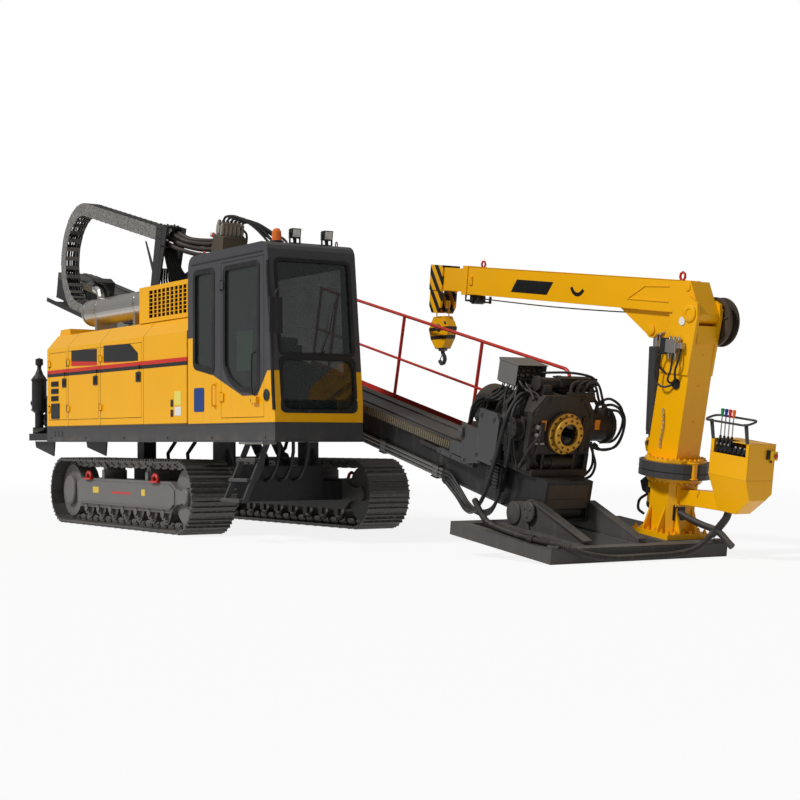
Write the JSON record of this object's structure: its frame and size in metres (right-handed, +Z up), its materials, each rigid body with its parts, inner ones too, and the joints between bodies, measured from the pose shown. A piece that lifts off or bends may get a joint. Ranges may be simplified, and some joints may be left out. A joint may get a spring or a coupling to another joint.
{
  "type": "horizontal directional drill",
  "caption": "Tracked horizontal directional drill: tilting rack mast with carriage and vises, cab, engine house and a slewing loading crane.",
  "frame": {"origin": "bottom centre of the overall box, on the ground", "axes": "+X towards the drilling end, +Y to the machine's left, +Z up"},
  "size_m": [14.5812, 3.2403, 4.7151],
  "materials": {
    "yellow_paint": "gloss enamel, slightly weathered",
    "grey_paint": "satin enamel",
    "black_parts": "matt black",
    "bare_steel": "worn, dusty steel",
    "zinc_chain": "galvanised",
    "silver_muffler": "aluminised sheet",
    "red_paint": "gloss enamel",
    "cab_glass": "tinted, clear",
    "beacon_lens": "clear orange",
    "seat_vinyl": "grained vinyl"
  },
  "bodies": {
    "carrier": {"undercarriage_frame": "grey_paint", "deck": "grey_paint", "track_frame_right": "grey_paint", "track_frame_left": "grey_paint", "track_right": "bare_steel", "track_left": "bare_steel", "engine_house": "yellow_paint", "engine_block": "grey_paint", "exhaust_muffler": "silver_muffler", "intake_box": "yellow_paint", "cab_shell": "grey_paint", "windscreen_lower": "cab_glass", "windscreen_upper": "cab_glass", "quarter_window": "cab_glass", "left_window": "cab_glass", "rear_window": "cab_glass", "operator_seat": "seat_vinyl", "cab_controls": "black_parts", "roof_beacon": "beacon_lens", "work_lamps": "black_parts", "side_mirror": "black_parts", "cab_ladder": "grey_paint", "mud_pump": "black_parts", "hydraulic_tank": "yellow_paint"},
    "rear_service_door": {"rear_service_door": "yellow_paint"},
    "engine_door_rear": {"engine_door_rear": "yellow_paint"},
    "engine_door_front": {"engine_door_front": "yellow_paint"},
    "cab_door": {"cab_door": "grey_paint", "cab_door_window": "cab_glass"},
    "lift_barrels": {"lift_barrels": "grey_paint"},
    "lift_rods": {"lift_rods": "bare_steel"},
    "mast": {"mast_beam": "grey_paint", "walkway": "grey_paint", "railing": "red_paint", "mast_tubes": "black_parts", "clamp_vise": "grey_paint"},
    "breakout_vise": {"breakout_vise": "black_parts"},
    "carriage": {"carriage": "grey_paint", "rotary_motors": "black_parts", "thrust_motors": "bare_steel"},
    "drive_spindle": {"drive_spindle": "bare_steel"},
    "energy_chain": {"energy_chain": "zinc_chain"},
    "anchor": {"anchor_frame": "bare_steel", "crane_column": "yellow_paint", "slewing_ring": "grey_paint", "crane_console": "yellow_paint", "console_levers": "black_parts"},
    "crane_post": {"crane_post": "yellow_paint", "winch": "yellow_paint"},
    "boom": {"boom_outer": "yellow_paint"},
    "boom_inner": {"boom_inner": "yellow_paint"},
    "hook_block": {"hook_block": "black_parts"},
    "luff_barrel": {"luff_barrel": "grey_paint"},
    "luff_rod": {"luff_rod": "bare_steel"}
  },
  "joints": [
    {"name": "mast_tilt", "type": "hinge", "parent": "carrier", "child": "mast", "pos_m": [1.33865, 0.18, 1.25], "axis": [0, 1, 0], "range_deg": [-13.6, 0]},
    {"name": "lift_barrel_turn", "type": "hinge", "parent": "carrier", "child": "lift_barrels", "pos_m": [-0.41135, 0.18, 0.9], "axis": [0, 1, 0], "range_deg": [-27.2, 0]},
    {"name": "lift_rod_slide", "type": "slide", "parent": "lift_barrels", "child": "lift_rods", "axis": [-0.6985, 0, 0.7157], "range_m": [-0.294, 0]},
    {"name": "carriage_travel", "type": "slide", "parent": "mast", "child": "carriage", "axis": [0.972, 0, -0.2351], "range_m": [-3.6, 5]},
    {"name": "chain_travel", "type": "slide", "parent": "mast", "child": "energy_chain", "axis": [0.972, 0, -0.2351], "range_m": [-1.8, 2.5]},
    {"name": "spindle_turn", "type": "hinge", "parent": "carriage", "child": "drive_spindle", "pos_m": [-1.11648, 0.18, 2.80224], "axis": [0.972, 0, -0.2351], "continuous": true},
    {"name": "breakout_turn", "type": "hinge", "parent": "mast", "child": "breakout_vise", "pos_m": [4.63753, 0.18, 1.4102], "axis": [0.972, 0, -0.2351], "range_deg": [-12, 12]},
    {"name": "anchor_pitch", "type": "hinge", "parent": "mast", "child": "anchor", "pos_m": [5.46865, 0.18, 0.43], "axis": [0, 1, 0], "range_deg": [-7.2, 0]},
    {"name": "crane_slew", "type": "hinge", "parent": "anchor", "child": "crane_post", "pos_m": [5.99546, 1.17, 0.36345], "axis": [0.1253, 0, 0.9921], "range_deg": [-180, 0]},
    {"name": "boom_luff", "type": "hinge", "parent": "crane_post", "child": "boom", "pos_m": [6.43939, 1.17, 2.32161], "axis": [0, 1, 0], "range_deg": [0, 65]},
    {"name": "boom_extend", "type": "slide", "parent": "boom", "child": "boom_inner", "axis": [-0.9921, 0, 0.1253], "range_m": [-0.35, 2.2]},
    {"name": "hook_hang", "type": "hinge", "parent": "boom_inner", "child": "hook_block", "pos_m": [2.00197, 1.17, 2.74107], "axis": [0, 1, 0], "range_deg": [-65, 0]},
    {"name": "luff_barrel_turn", "type": "hinge", "parent": "crane_post", "child": "luff_barrel", "pos_m": [5.72458, 1.17, 1.0915], "axis": [0, 1, 0], "range_deg": [0, 7.3]},
    {"name": "luff_rod_slide", "type": "slide", "parent": "luff_barrel", "child": "luff_rod", "axis": [0.0629, 0, 0.998], "range_m": [0, 0.69]},
    {"name": "rear_service_door_turn", "type": "hinge", "parent": "carrier", "child": "rear_service_door", "pos_m": [-3.85135, -1.5123, 1.9], "axis": [0, 0, 1], "range_deg": [-90, 0]},
    {"name": "engine_door_rear_turn", "type": "hinge", "parent": "carrier", "child": "engine_door_rear", "pos_m": [-3.13135, -1.5123, 1.9], "axis": [0, 0, 1], "range_deg": [-90, 0]},
    {"name": "engine_door_front_turn", "type": "hinge", "parent": "carrier", "child": "engine_door_front", "pos_m": [-1.99135, -1.5123, 1.9], "axis": [0, 0, 1], "range_deg": [-90, 0]},
    {"name": "cab_door_turn", "type": "hinge", "parent": "carrier", "child": "cab_door", "pos_m": [1.52865, -1.5123, 2.2], "axis": [0, 0, 1], "range_deg": [-95, 0]}
  ],
  "couplings": [
    {"joint": "lift_barrel_turn", "follows": "mast_tilt", "ratio": 1.9911},
    {"joint": "lift_rod_slide", "follows": "mast_tilt", "m_per_rad": 1.2334},
    {"joint": "chain_travel", "follows": "carriage_travel", "ratio": 0.5},
    {"joint": "luff_barrel_turn", "follows": "boom_luff", "ratio": 0.11089},
    {"joint": "luff_rod_slide", "follows": "boom_luff", "m_per_rad": 0.60027},
    {"joint": "hook_hang", "follows": "boom_luff", "ratio": -1}
  ]
}
